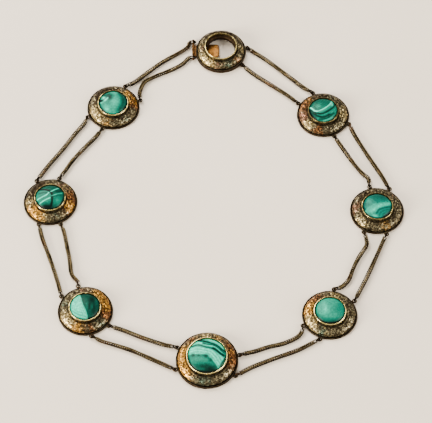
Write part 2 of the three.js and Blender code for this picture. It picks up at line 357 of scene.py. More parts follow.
# %% Chain routes
CHAINS = [
    ("outer", "clasp", 11, 110, [(0.3, 0.5), (0.6, 0), (0.85, -0.5)]),
    ("inner", "clasp", -37, 151, [(0.2, -0.7), (0.5, -0.2), (0.8, 0.4)]),
    ("outer", "upper_right", -24, 62, [(0.15, -0.6), (0.5, -0.4), (0.8, 0.2)]),
    ("inner", "upper_right", -68, 103, [(0.3, 0), (0.58, 0.3), (0.75, 1.1), (0.87, 2.3)]),
    ("outer", "right", -73, 32, [(0.3, 0.2), (0.7, 0.5)]),
    ("inner", "right", -119, 80,
     [(0.08, 2.7), (0.17, 4.7), (0.38, 4.1), (0.6, 4.1), (0.79, 4.7), (0.92, 3.2)]),
    ("outer", "lower_right", -111, -31, [(0.12, 0.4), (0.28, 0.8), (0.6, -0.3), (0.82, -0.7)]),
    ("inner", "lower_right", -155, 11, [(0.06, 2.8), (0.15, 4.6), (0.38, 4.7), (0.57, 3.1), (0.8, 1.8)]),
    ("outer", "centre", -162, -76, [(0.25, -0.5), (0.55, -0.8), (0.75, 0), (0.88, 0.6)]),
    ("inner", "centre", 154, -35, [(0.2, 0.8), (0.5, 0.8), (0.82, 0)]),
    ("outer", "lower_left", 146, -111, [(0.2, -0.4), (0.5, -0.1), (0.85, 0.5)]),
    ("inner", "lower_left", 106, -67, [(0.07, -0.4), (0.2, 1.6), (0.4, 0.7), (0.65, 0), (0.9, -0.6)]),
    ("outer", "left", 121, -155, [(0.2, 0.2), (0.5, -0.4), (0.75, -0.4), (0.9, -0.8)]),
    ("inner", "left", 74, -112, [(0.15, 0.4), (0.37, 1), (0.65, 0.4), (0.85, -0.2)]),
    ("outer", "upper_left", 66, "bar", [(0.1, -1), (0.3, -0.4), (0.55, 0), (0.9, -0.6)]),
    ("inner", "upper_left", 17, "bar",
     [(0.05, 2.9), (0.12, 5.2), (0.25, 7.5), (0.4, 6.3), (0.6, 3.4), (0.8, 1.2)]),
]
print(len(CHAINS), "chain routes")

# %% Holders of the chains
EYE_REACH, EYE_HEIGHT = 1.0, 1.2
LOOP_HEIGHT = 1.55
CHAIN_THICKNESS = 2.4
BAR_X, BAR_Y, BAR_LOOP_OFFSET = -16.0, 1.3, 5.5


def bearing(degrees):
    """The unit vector at a bearing, counted from +X towards +Y."""
    return np.array([math.cos(math.radians(degrees)), math.sin(math.radians(degrees))])


def eye_centre(station, degrees):
    """The rim's radius and the eye's reach, out from the roundel's middle at a bearing."""
    return CENTRES[station] + bearing(degrees) * (STATION_SIZES[station]["rim"] + EYE_REACH)


def next_station(station):
    """The next roundel clockwise, and the clasp again after the last."""
    return STATIONS[(STATIONS.index(station) + 1) % len(STATIONS)]


def holders(side, station, leaves, meets):
    """The middles of the two eyes that a chain hangs between, or of an eye and its place on the bar."""
    start = eye_centre(station, leaves)
    if meets == "bar":
        offset = BAR_LOOP_OFFSET if side == "outer" else -BAR_LOOP_OFFSET
        return start, CENTRES["clasp"] + np.array([BAR_X, BAR_Y + offset])
    return start, eye_centre(next_station(station), meets)


def bend_points(start, end, sway):
    """Each bend: the start, plus its share of the straight line, plus its offset to the left."""
    along = end - start
    left = np.array([-along[1], along[0]]) / np.hypot(*along)
    return [start + share * along + offset * left for share, offset in sway]


first_span = [np.hypot(*np.subtract(*holders(*chain[:4]))) for chain in CHAINS[:2]]
print("from the clasp to the next roundel, in mm:", np.round(first_span, 1))

# %% Smooth routes
SIGHT_STEP = 0.2


def smooth_route(points, samples=40):
    """A curve through the points, which turns gently where they are close together: a Catmull-Rom
    curve whose time between two points is the square root of the distance between them."""
    p = np.array([2 * points[0] - points[1], *points, 2 * points[-1] - points[-2]])
    knots = np.concatenate([[0], np.cumsum(np.sqrt(np.linalg.norm(np.diff(p, axis=0), axis=1)))])
    pieces = []
    for k in range(1, len(p) - 2):
        t = np.linspace(knots[k], knots[k + 1], samples, endpoint=False)[:, None]

        def blend(i, j, a, b):
            """The mix of a and b in proportion to how far t is between knots i and j."""
            return (a * (knots[j] - t) + b * (t - knots[i])) / (knots[j] - knots[i])

        a1, a2, a3 = (blend(i, i + 1, p[i], p[i + 1]) for i in (k - 1, k, k + 1))
        b1, b2 = blend(k - 1, k + 1, a1, a2), blend(k, k + 2, a2, a3)
        pieces.append(blend(k, k + 1, b1, b2))
    return np.vstack([*pieces, p[-2]])


def evenly(points, spacing):
    """Points at an even spacing along a line of points, with the direction of travel at each."""
    steps = np.linalg.norm(np.diff(points, axis=0), axis=1)
    run = np.concatenate([[0], np.cumsum(steps)])
    count = int(round(run[-1] / spacing))
    at = (np.arange(count) + 0.5) * run[-1] / count
    behind, spots, ahead = (
        np.stack([np.interp(at + step, run, points[:, k]) for k in range(2)], -1)
        for step in (-SIGHT_STEP, 0, SIGHT_STEP)
    )
    travel = ahead - behind
    return spots, travel / np.linalg.norm(travel, axis=1)[:, None]


corner_route = smooth_route([np.array([0.0, 0.0]), np.array([4.0, 0.0]), np.array([4.0, 3.0])])
print("a route round a corner:", len(corner_route), "points,", len(evenly(corner_route, 1.0)[0]), "mm long")


# %% [markdown]
# ## Roundels: the section
# On the real collar a roundel is a disc of sheet metal, domed in a die, with a flat foot, a convex band
# and a separate bezel strip soldered upright in its middle. It could be spun from a curve with the
# Screw modifier. Here its section is a list of points whose corners are cut once or twice, which rounds
# them as wear does, and only the band has many rows, because only the band is engraved.

# %% Rounded corners and the band's arc
BEZEL_WALL = 0.55
LIP_WIDTH = 0.36
FOOT_WIDTH = 1.9
GROOVE_WIDTH, STEP_WIDTH = 1.15, 0.7
LEDGE_WIDTH, LEDGE_DEPTH, SHEET = 0.8, 2.6, 0.8
BAND_ROWS = 30


def softened(corners, rounds):
    """Each corner is cut at a quarter of its two sides, and the ends stay."""
    p = np.array(corners, float)
    for _ in range(rounds):
        a = 0.75 * p[:-1] + 0.25 * p[1:]
        b = 0.25 * p[:-1] + 0.75 * p[1:]
        p = np.vstack([p[:1], np.stack([a, b], 1).reshape(-1, 2)[1:-1], p[-1:]])
    return p


def band_arc(size, inset=0.0, rows=BAND_ROWS):
    """A quarter of an ellipse from the band's outer foot up to its shoulder."""
    middle = size["bezel"] + STEP_WIDTH
    width = size["rim"] - GROOVE_WIDTH - middle - inset
    rise = size["shoulder"] - size["foot"] - inset
    angle = np.linspace(0, math.pi / 2, rows)
    return np.stack([middle + width * np.cos(angle), size["foot"] + rise * np.sin(angle)], -1)


print("a plain roundel's band ends at", band_arc(PLAIN)[[0, -1]].round(2).tolist())

# %% Section of a roundel
def roundel_section(size):
    """The closed section, as radius and height in millimetres, with a code for each row:
    0 foot, 1 band, 2 step, 3 lip, 4 inside."""
    rim, bezel, shoulder, lip = size["rim"], size["bezel"], size["shoulder"], size["lip"]
    top = size["foot"]
    foot = softened([
        (rim - FOOT_WIDTH, 0), (rim - 0.4, 0), (rim, 0.4), (rim, top - 0.35),
        (rim - 0.25, top), (rim - 0.6, top), (rim - 0.8, top - 0.35),
        (rim - GROOVE_WIDTH, top - 0.05),
    ], 1)
    band = band_arc(size)
    step = softened([
        (bezel + 0.55, shoulder), (bezel + 0.45, shoulder - 0.3), (bezel + 0.1, shoulder - 0.4),
        (bezel, shoulder - 0.1), (bezel, lip - 0.75),
    ], 1)
    rolled = softened([
        (bezel + 0.02, lip - 0.5), (bezel + 0.03, lip - 0.15), (bezel - 0.18, lip + 0.03),
        (bezel - 0.5, lip + 0.02), (bezel - LIP_WIDTH, lip - 0.2), (bezel - LIP_WIDTH + 0.12, lip - 0.6),
    ], 2)
    wall, seat = bezel - BEZEL_WALL, lip - LEDGE_DEPTH
    ledge, under = wall - LEDGE_WIDTH, seat - SHEET
    ledge_end = [(ledge, under)]
    if "well" in size:
        ledge_end = [(ledge, size["well"]), (wall, size["well"]), (wall, under)]
    inside = np.array([
        (wall, lip - 0.9), (wall, seat + 0.1), (wall - 0.1, seat), (ledge, seat), *ledge_end,
        *band_arc(size, SHEET, 5)[::-1], (rim - FOOT_WIDTH, 0.9),
    ])
    stretches = [foot, band, step, rolled, inside]
    codes = np.concatenate([np.full(len(s), code) for code, s in enumerate(stretches)])
    return np.vstack(stretches), codes


section, section_codes = roundel_section(PLAIN)
print("section:", len(section), "rows, of which the band has", int((section_codes == 1).sum()))


# %% [markdown]
# ## Roundels: the engraved band
# The band carries a running vine: a stem that waves round it, with a scroll curling back into each
# wave, a berry in the scroll's eye, leaves in the corners, and a beaded line along each edge, on a
# stippled ground. The maker cut it with a graver. A bump map would give the shading but not the
# outline, so the vine is real height here: each grid point rises by how near it is to the drawing.
# The drawing is made once, for one wave, and repeated round the band.

# %% Lines of one wave

def drawn_curves(width, height):
    """The lines of one wave, as (points, half width) pairs, in millimetres along and across the band."""
    middle, swing, curl = height / 2, 0.19 * height, 0.215 * height
    t = np.linspace(0, 1, 90)[:, None]
    stem = np.hstack([t * width, middle + swing * np.sin(2 * math.pi * t)])
    curves = [(stem, 0.3)]
    for crest, sign in ((0.25, 1), (0.75, -1)):
        turn = math.radians(90) - 2 * math.pi * 1.35 * t
        radius = curl * (1 - 0.72 * t)
        eye = np.array([crest * width, middle + sign * (swing - curl)])
        scroll = eye + np.hstack([radius * np.cos(turn), sign * radius * np.sin(turn)])
        berry = np.repeat(eye[None], 2, 0)
        leaf_arc = math.radians(150) * t
        leaf = np.hstack([
            (crest + 0.13) * width + 0.15 * width * t,
            middle + sign * (0.16 + 0.2 * np.sin(leaf_arc)) * height,
        ])
        bud = np.array([[crest * width - 0.12 * width, middle + sign * 0.35 * height]] * 2)
        curves += [(scroll, 0.24), (berry, 0.34), (leaf, 0.24), (bud, 0.28)]
    return curves


print("one wave has", len(drawn_curves(7.0, 6.0)), "lines")

# %% Height of one wave
COLUMNS_PER_REPEAT = 30
BEADS_PER_WAVE = 10
BORDER_PLACES, BORDER_HALF_WIDTH = (0.07, 0.93), 0.17


def wave_height(width, height, rows):
    """The height of one wave of the drawing on a grid, from 0 on the ground to 1 on a crest: a round
    wire where a point is nearer to a line than its half width, with beaded borders."""
    along = (np.arange(COLUMNS_PER_REPEAT) + 0.5) / COLUMNS_PER_REPEAT * width
    across = np.linspace(0, height, rows)
    spots = np.stack(np.meshgrid(across, along, indexing="ij")[::-1], -1)
    result = np.zeros(spots.shape[:2])
    for curve, half_width in drawn_curves(width, height):
        for shift in (-width, 0, width):
            away = np.linalg.norm(spots[:, :, None] - (curve + [shift, 0]), axis=-1).min(-1)
            wire = np.sqrt(np.clip(1 - (away / half_width / 1.25) ** 2, 0, 1))
            result = np.maximum(result, wire)
    beads = 0.6 + 0.4 * np.cos(2 * math.pi * BEADS_PER_WAVE * along / width)
    for edge in BORDER_PLACES:
        border = np.exp(-(((across - edge * height) / BORDER_HALF_WIDTH) ** 2))[:, None] * beads[None, :]
        result = np.maximum(result, 0.75 * border)
    return result


print("share of one wave that stands up:", (wave_height(7.0, 6.0, BAND_ROWS) > 0.5).mean().round(2))

# %% The vine round a band
VINE_HEIGHT, GROUND_DEPTH = 0.3, 0.06
LEAST_CRISP = 0.45


def rubbing(shape, seed):
    """How far the engraving is still crisp, from 0 to 1 over a band: a sum of cosines round it with
    random phases and a random slant across it, as hands and cloth rub some stretches more."""
    draw = np.random.default_rng(seed)
    across = np.linspace(0, 1, shape[0])[:, None]
    around = np.linspace(0, 2 * math.pi, shape[1], endpoint=False)[None, :]
    turns = (2, 3, 5, 9, 16, 27)
    waves = sum(np.cos(k * around + draw.uniform(0, 6.3) + draw.uniform(-5, 5) * across) for k in turns)
    return np.clip(0.5 + waves / len(turns), 0, 1)


def band_height(size, band, seed):
    """The wave, repeated round a band given by its rows of radius and height, and rubbed unevenly."""
    length = np.linalg.norm(np.diff(band, axis=0), axis=1).sum()
    width = 2 * math.pi * band[:, 0].mean() / size["repeats"]
    drawing = np.tile(wave_height(width, length, len(band)), (1, size["repeats"]))
    return drawing * (LEAST_CRISP + (1 - LEAST_CRISP) * rubbing(drawing.shape, seed))


print("vine:", PLAIN["repeats"], "waves on a plain roundel,", LARGE["repeats"], "on the centre-piece")


# %% [markdown]
# ## Roundels: worn gilding
# The roundels were gilt silver. Most of the gilding has darkened to an olive brass colour. In some
# places it is rubbed down to cream silver or a warm rose, in others it is still gold or has turned to
# copper browns, differently on each roundel. These patches are charted as bearings round the
# roundel with a spread and a strength. They are stored in the mesh, where one shared finish reads them
# and breaks their edges up with noise.
# Dark patches on a band's far side are painted shade; cream at its front left is partly a painted highlight.

# %% Where each tone lies
# Cream near bearing 220, at each band's front left, is partly a painted highlight and partly rubbed silver.
TONES = {
    "copper": (136, 84, 42), "rose": (152, 104, 78), "gold": (216, 154, 58),
    "cream": (218, 190, 124), "teal": (80, 98, 80), "dark": (38, 28, 18),
}
# The dark tone near bearings 90 to 140, on each band's far side, is painted shade; elsewhere it is tarnish.
WEAR = {
    "clasp": {
        "cream": [(222, 34, 0.9), (165, 22, 0.3), (354, 20, 0.4)], "rose": [(180, 16, 0.4), (262, 14, 0.5)],
        "teal": [(292, 20, 0.6)], "copper": [(322, 16, 0.5)], "gold": [(245, 14, 0.4)],
        "dark": [(95, 60, 1.2)],
    },
    "upper_right": {
        "copper": [(150, 34, 0.9), (256, 16, 0.7)], "rose": [(195, 26, 0.8)],
        "cream": [(222, 20, 0.65), (2, 26, 0.35), (345, 18, 0.4)],
        "dark": [(286, 16, 0.5), (160, 10, 0.4), (98, 44, 0.65)], "teal": [(75, 26, 0.4), (310, 20, 0.3)],
        "gold": [(135, 18, 0.4)],
    },
    "right": {
        "dark": [(0, 28, 0.3), (128, 24, 0.8)], "cream": [(222, 24, 0.55), (52, 30, 0.2)],
        "rose": [(178, 24, 0.6)], "gold": [(288, 24, 0.45)], "copper": [(108, 22, 0.4), (40, 20, 0.3)],
    },
    "lower_right": {
        "copper": [(132, 26, 0.9)], "gold": [(172, 30, 0.9)],
        "cream": [(208, 26, 0.9), (75, 20, 0.75), (10, 20, 0.2), (256, 18, 0.45)],
        "teal": [(250, 16, 0.6)], "dark": [(122, 24, 0.5)],
    },
    "centre": {
        "copper": [(22, 34, 0.8), (138, 26, 0.6), (345, 22, 0.6)], "cream": [(92, 26, 0.6)],
        "gold": [(170, 30, 0.8), (214, 28, 0.8), (62, 24, 0.4), (14, 18, 0.45)], "teal": [(264, 22, 0.7)],
        "dark": [(288, 20, 0.2), (138, 20, 0.5)], "rose": [(190, 18, 0.3)],
    },
    "lower_left": {
        "gold": [(42, 32, 1.05), (250, 24, 0.8), (8, 20, 0.5)],
        "copper": [(8, 28, 0.8), (285, 18, 0.6), (345, 20, 0.6)],
        "rose": [(95, 26, 0.5)], "teal": [(165, 18, 0.5), (312, 14, 0.5)], "cream": [(216, 30, 0.9)],
        "dark": [(265, 10, 0.5)],
    },
    "left": {
        "copper": [(8, 28, 1.0), (318, 18, 0.5)], "rose": [(48, 24, 0.5)],
        "dark": [(132, 30, 1.05), (172, 16, 0.5)], "cream": [(190, 22, 0.6), (36, 20, 0.45), (258, 18, 0.5)],
        "gold": [(222, 28, 1.0), (258, 16, 0.2), (340, 18, 0.8)],
        "teal": [(290, 14, 0.4)],
    },
    "upper_left": {
        "copper": [(8, 24, 0.9), (75, 22, 0.3)], "gold": [(46, 20, 0.7), (254, 16, 0.5), (14, 20, 0.5)],
        "cream": [(222, 24, 0.9), (194, 16, 0.4)], "dark": [(345, 18, 0.3), (122, 46, 0.85)],
        "teal": [(308, 20, 0.4)], "rose": [(240, 14, 0.4)],
    },
}


def tone_values(station, degrees):
    """How much of each tone there is at a bearing: the sum of bell curves about the charted ones."""
    values = {}
    for tone in TONES:
        total = np.zeros_like(degrees)
        for middle, spread, strength in WEAR[station].get(tone, []):
            away = (degrees - middle + 180) % 360 - 180
            total += strength * np.exp(-((away / spread) ** 2))
        values[tone] = total
    return values


print("wear charted for", len(WEAR), "roundels")

# %% Metal finishes of a roundel
def worn_gilt():
    """Olive brass under patches of the other tones, brown-black in the hollows, and pale on the crests,
    which is rubbed metal with a painted highlight. Below a relief of 0 it is near black: painted shade
    in the groove.
    """
    finish = Finish("worn_gilt_silver", metallic=1.0, roughness=0.35)
    base = finish.noise(3.0, detail=5)
    colour = finish.mix(finish.between(base, 0.3, 0.7), linear(84, 75, 54), linear(131, 119, 88))
    for layer, (tone, tint) in enumerate(TONES.items(), start=1):
        patches = finish.noise(1.9, detail=5, layer=3.0 * layer)
        ragged = finish.maths("MULTIPLY_ADD", patches, 1.8, finish.attribute(tone))
        colour = finish.mix(finish.between(ragged, 1.15, 1.75, 0.0, 0.9), colour, linear(*tint))
    height = finish.attribute("relief")
    # Crests get the colour doubled: rubbed metal and a painted highlight.
    glow = finish.tree.nodes.new("ShaderNodeVectorMath")
    glow.operation, glow.inputs["Scale"].default_value = "SCALE", 2.1
    finish.put(colour, glow.inputs[0])
    colour = finish.mix(finish.between(height, 0.55, 0.95, 0.0, 0.75), colour, glow.outputs[0])
    worn = finish.noise(0.85, detail=4, layer=30.0)
    colour = finish.mix(finish.between(worn, 0.45, 0.56, 0.0, 0.85), colour, linear(32, 24, 14))
    colour = finish.mix(finish.between(height, 0.02, 0.5, 0.92, 0.0), colour, linear(26, 18, 10))
    # Near black below a relief of 0: painted shade in the groove and at the band's edge.
    colour = finish.mix(finish.between(height, -0.3, 0.0, 1.0, 0.0), colour, linear(5, 3, 2))
    finish.relief(finish.noise(0.5, detail=4, layer=40.0), 0.06)
    return finish.done(colour, finish.between(height, 0.2, 0.9, 0.55, 0.25))


def lip_tarnish_and_sheen():
    """The bezel's lip: pale gold with tarnished patches, brighter at the front and darker towards the
    back, which is painted light and painted shade.
    """
    finish = Finish("lip_tarnish_and_sheen", metallic=1.0, roughness=0.22)
    tarnish_and_sheen = finish.maths("MULTIPLY_ADD", finish.noise(1.8, detail=4), 1.6, finish.attribute("relief"))
    colour = finish.mix(finish.between(tarnish_and_sheen, 0.7, 1.45), linear(74, 63, 36), linear(236, 212, 134))
    return finish.done(colour, finish.between(tarnish_and_sheen, 0.6, 1.2, 0.42, 0.2))


def dull_inside():
    """Brown, nearly matt: the unpolished metal inside a bezel and under a roundel, and the foot's outer wall.
    """
    finish = Finish("dull_inside", metallic=1.0, roughness=0.6)
    patches = finish.noise(1.6, detail=5)
    colour = finish.mix(finish.between(patches, 0.3, 0.7), linear(22, 16, 10), linear(54, 40, 25))
    finish.relief(finish.noise(0.5, detail=3), 0.04)
    return finish.done(colour)


METALS = [worn_gilt(), lip_tarnish_and_sheen(), dull_inside()]
# Each lip's brightness, part tarnish and part painted sheen.
LIP_SHEEN_AND_TARNISH = {
    "clasp": 0.2, "upper_right": -0.1, "right": 0.1, "lower_right": 0.5,
    "centre": 0.45, "lower_left": 0.25, "left": 0.1, "upper_left": 0.2,
}
print("metal finishes:", [m.name for m in METALS])


# %% [markdown]
# ## Roundels: the metal
# The section is carried round the axis, the band's rows are pushed out by the vine's height, and small
# slow waves keep the rim and the lip from being perfect circles, as hand-set metal is. The eyes are
# closed wire rings that sink a little into the rim, where solder holds them.

# %% Wire rings and unevenness
EYE_RADIUS, EYE_WIRE = 1.0, 0.42


def wire_ring(centre, radius, wire, across, stretch=1.0, around=28, sides=10):
    """A torus: a circle of wire round a circle. across is the ring's axis, a unit vector, and stretch
    lengthens the ring level with the floor, square to that axis."""
    turn = np.linspace(0, 2 * math.pi, around, endpoint=False)[:, None]
    side = np.linspace(0, 2 * math.pi, sides, endpoint=False)[None, :]
    across = np.asarray(across, float)
    if abs(across[2]) > 0.5:
        first, second = np.array([1.0, 0, 0]), np.array([0, 1.0, 0])
    else:
        first, second = np.array([across[1], -across[0], 0]), np.array([0, 0, 1.0])
    reach = radius + wire * np.cos(side)
    points = (stretch * (reach * np.cos(turn))[..., None] * first + (reach * np.sin(turn))[..., None] * second
              + (wire * np.sin(side) + 0 * turn)[..., None] * across + np.asarray(centre, float))
    return {"points": points, "quads": grid_quads(around, sides)}


def slow_waves(angle, seed, size):
    """A sum of three slow cosines round the circle, with random phases."""
    draw = np.random.default_rng(seed)
    waves = [np.cos(k * angle + draw.uniform(0, 2 * math.pi)) for k in (2, 3, 5)]
    return size * sum(waves) / len(waves)


def eye_bearings(station):
    """The bearings of a roundel's eyes: of the chains that leave it, then of those that arrive."""
    leaving = [chain[2] for chain in CHAINS if chain[1] == station]
    coming = [chain[3] for chain in CHAINS if next_station(chain[1]) == station and chain[3] != "bar"]
    return leaving + coming


print("eyes on the clasp, at bearings", eye_bearings("clasp"))

# %% The turned ring of a roundel
# What the finish reads where there is no engraving: near black below 0, which is painted shade in
# the groove, and from about a half pale, which is rubbed metal with a painted highlight.
RELIEF = {
    "foot": 0.18, "groove": -0.3, "band_edge": -0.1, "step": 0.15, "step_edge": 0.6, "bezel_wall": 0.4,
}
STIPPLE_DEPTH, WOBBLE = 0.07, 0.07


def roundel_grid(station, seed):
    """The turned ring of one roundel, with its vine, its small unevenness and its tones."""
    size = STATION_SIZES[station]
    rows, codes = roundel_section(size)
    columns = size["repeats"] * COLUMNS_PER_REPEAT
    angle = np.linspace(0, 2 * math.pi, columns, endpoint=False)
    travel = np.roll(rows, -1, 0) - np.roll(rows, 1, 0)
    normal = np.stack([travel[:, 1], -travel[:, 0]], -1)
    normal /= np.linalg.norm(normal, axis=1)[:, None]
    height = np.zeros((len(rows), columns))
    band = codes == 1
    drawing = band_height(size, rows[band], seed)
    stipple = np.random.default_rng(seed).uniform(-0.5, 0.5, drawing.shape) * (drawing < 0.2)
    height[band] = VINE_HEIGHT * drawing - GROUND_DEPTH * (drawing < 0.05) + STIPPLE_DEPTH * stipple
    wobble = np.isin(codes, (0, 1, 3))[:, None] * slow_waves(angle, seed, WOBBLE)[None, :]
    radius = rows[:, :1] + normal[:, :1] * height + wobble
    level = rows[:, 1:] + normal[:, 1:] * height
    cx, cy = CENTRES[station]
    points = np.stack([cx + radius * np.cos(angle), cy + radius * np.sin(angle), level + 0 * angle], -1)
    foot, step, lip = (np.nonzero(codes == code)[0] for code in (0, 2, 3))
    relief = np.full(height.shape, 0.5)
    relief[band] = 0.15 + 0.85 * drawing + 0.3 * stipple
    relief[foot] = RELIEF["foot"]
    relief[foot[-4:]] = RELIEF["groove"]
    relief[np.nonzero(band)[0][:2]] = RELIEF["band_edge"]
    relief[step] = RELIEF["step"]
    relief[step[:2]] = RELIEF["step_edge"]
    relief[step[-3:]] = RELIEF["bezel_wall"]
    # The lip is brighter at the front and darker at the back: painted light and painted shade.
    relief[lip] = LIP_SHEEN_AND_TARNISH[station] - 0.15 * np.sin(angle)
    values = {"relief": relief}
    on_band = np.select([codes == 0, codes == 2], [0.25, 0.6], 1.0)[:, None]
    for tone, strength in tone_values(station, np.degrees(angle)).items():
        values[tone] = on_band * strength + (0.45 * (codes == 0)[:, None] if tone == "dark" else 0)
    # The foot's outer wall, down to the floor, takes the brown, nearly matt finish of the inside.
    wall = (codes == 0) & (rows[:, 1] < size["foot"] - 0.2) & (rows[:, 0] > size["rim"] - 0.5)
    row_paint = np.select([codes == 3, (codes == 4) | wall], [1, 2], 0)
    return {"points": points, "quads": grid_quads(len(rows), columns),
            "values": values, "material": np.repeat(row_paint, columns)}


print("the finish reads, beside the band:", RELIEF)

# %% Roundels with their eyes
def roundel_metal(station, seed):
    """The ring and its soldered eyes, as one piece."""
    grids = [roundel_grid(station, seed)]
    for degrees in eye_bearings(station):
        x, y = eye_centre(station, degrees)
        ring = wire_ring((x, y, EYE_HEIGHT), EYE_RADIUS, EYE_WIRE, (0, 0, 1))
        ring["values"] = {"relief": 0.22, "dark": 0.6, "copper": 0.4}
        grids.append(ring)
    return make_piece(f"metal_{station}", grids, METALS)


metals = {name: roundel_metal(name, seed) for seed, name in enumerate(STATIONS, start=1)}
for name, piece in metals.items():
    settle(piece, f"roundel_{name}")
print("roundels:", {name: len(piece.data.polygons) for name, piece in metals.items()})


# %% [markdown]
# ## Stones
# Each stone is a polished malachite cabochon: a round stone with a flat base and a low dome. Malachite
# grew in layers, so every cut shows bands of light and dark green, and no two stones show the same
# ones. Noise could make bands, but not these bands. They are charted instead, stroke by
# stroke, in stone radii (u to the right, v away from the front), as a painter would lay them: a ground
# shade, regions beside a curve, soft washes, lines, and fine stripes that follow a curve. A shade
# goes from 0, near black, to 1, mint, and a stroke may go past either end to cover more fully. The dome
# carries the shade at each point, and the finish turns it into greens.

# %% Shape of a cabochon
STONE_SEGMENTS, DOME_ROWS = 180, 58
STONE_GAP = 0.22
STONE_SEAT, GIRDLE_BELOW_LIP, DOME_ABOVE_LIP, DOME_POWER = 0.1, 1.1, 1.7, 2.3


def cabochon_rows(size):
    """Flat base, upright girdle, and a dome: height = rise * sqrt(1 - (radius share) ** DOME_POWER)."""
    radius, lip = size["bezel"] - BEZEL_WALL - STONE_GAP, size["lip"]
    base, girdle, top = lip - LEDGE_DEPTH + STONE_SEAT, lip - GIRDLE_BELOW_LIP, lip + DOME_ABOVE_LIP
    share = np.sin(np.linspace(math.pi / 2, 0.02, DOME_ROWS))
    dome = np.stack([radius * share, girdle + (top - girdle) * np.sqrt(1 - share ** DOME_POWER)], -1)
    under = [[0.02 * radius, base], [0.6 * radius, base], [0.97 * radius, base], [radius, base + 0.25]]
    return np.vstack([under, dome]), radius


def close_poles(piece, columns):
    """Adds one round face over each small hole that a turned surface leaves on its axis."""
    mesh = bmesh.new()
    mesh.from_mesh(piece.data)
    mesh.verts.ensure_lookup_table()
    last = len(mesh.verts) - columns
    rings = [[mesh.verts[k] for k in range(start, start + columns)] for start in (0, last)]
    for ring in rings:
        mesh.faces.new(ring)
    bmesh.ops.recalc_face_normals(mesh, faces=mesh.faces)
    mesh.to_mesh(piece.data)
    mesh.free()
    piece.data.shade_smooth()


print("radius of a plain stone:", round(cabochon_rows(PLAIN)[1], 2), "mm")

# %% Distances from a curve
def ease(value):
    """0 below 0, 1 above 1, and 3 x squared - 2 x cubed between."""
    value = np.clip(value, 0, 1)
    return value * value * (3 - 2 * value)


def beside(curve, u, v):
    """The distance of each point from a smooth curve, counted negative on the curve's right."""
    points = [np.array(point, float) for point in curve]
    first, last = points[0] - points[1], points[-1] - points[-2]
    points = [points[0] + 2 * first / np.hypot(*first), *points, points[-1] + 2 * last / np.hypot(*last)]
    line = smooth_route(points, samples=9)
    spots = np.stack([u, v], -1).reshape(-1, 2)
    a, along = line[:-1], np.diff(line, axis=0)
    away = spots[:, None] - a
    share = np.clip((away * along).sum(-1) / (along ** 2).sum(-1), 0, 1)
    gap = np.linalg.norm(away - share[..., None] * along, axis=-1)
    nearest = gap.argmin(1)
    pick = np.arange(len(spots))
    ahead, offset = along[nearest], away[pick, nearest]
    side = np.sign(ahead[:, 0] * offset[:, 1] - ahead[:, 1] * offset[:, 0])
    return (gap[pick, nearest] * side).reshape(u.shape)


def along_curve(curve, u, v):
    """The distance of each point from a smooth curve with ends."""
    line = smooth_route([np.array(point, float) for point in curve], samples=12)
    return np.hypot(u[..., None] - line[:, 0], v[..., None] - line[:, 1]).min(-1)


middle = np.zeros((1, 1))
low_line = [(-1, -0.5), (1, -0.5)]
print("from a line half a radius below the middle:", beside(low_line, middle, middle).item())

# %% Strokes on a stone
# Seen on a slope from the front, a point shows farther back by its height times this.
VIEW_SLANT = 1 / math.tan(CAMERA_ELEVATION)
WANDER, EDGE_PAINTED_SHADE = 0.012, 0.2


def stone_shade(marks, u, v, seed):
    """The shade of each point, stroke over stroke, each bent by a slow wandering. The edge gets
    painted shade, most at the front.
    """
    draw = np.random.default_rng(seed)
    wander = []
    for _ in range(2):
        turns = draw.uniform(-7, 7, (6, 2))
        phases = draw.uniform(0, 6.3, 6)
        wander.append(WANDER * sum(np.sin(a * u + b * v + c) for (a, b), c in zip(turns, phases)))
    u, v = u + wander[0], v + wander[1]
    shade = np.zeros_like(u)
    for kind, value, width, *chart in marks:
        if kind == "ground":
            cover = np.ones_like(u)
        elif kind == "side":
            cover = ease(0.5 + beside(chart, u, v) / width)
        elif kind == "line":
            cover = 0.92 * np.exp(-((along_curve(chart, u, v) / width / 1.3) ** 2))
        elif kind == "wash":
            (middle_u, middle_v), (reach_u, reach_v) = chart
            cover = 0.9 * np.exp(-((u - middle_u) / reach_u) ** 2 - ((v - middle_v) / reach_v) ** 2)
        elif kind == "stripes":
            shade += value * np.cos(2 * math.pi * beside(chart, u, v) / width)
            continue
        shade = shade + (value - shade) * cover
    # The stone's rim darkens, most at the front and not at the back: painted shade.
    return shade - EDGE_PAINTED_SHADE * (1 - v) * ease((np.hypot(u, v) - 0.88) / 0.12)


print("strokes: ground, side, line, wash, stripes")

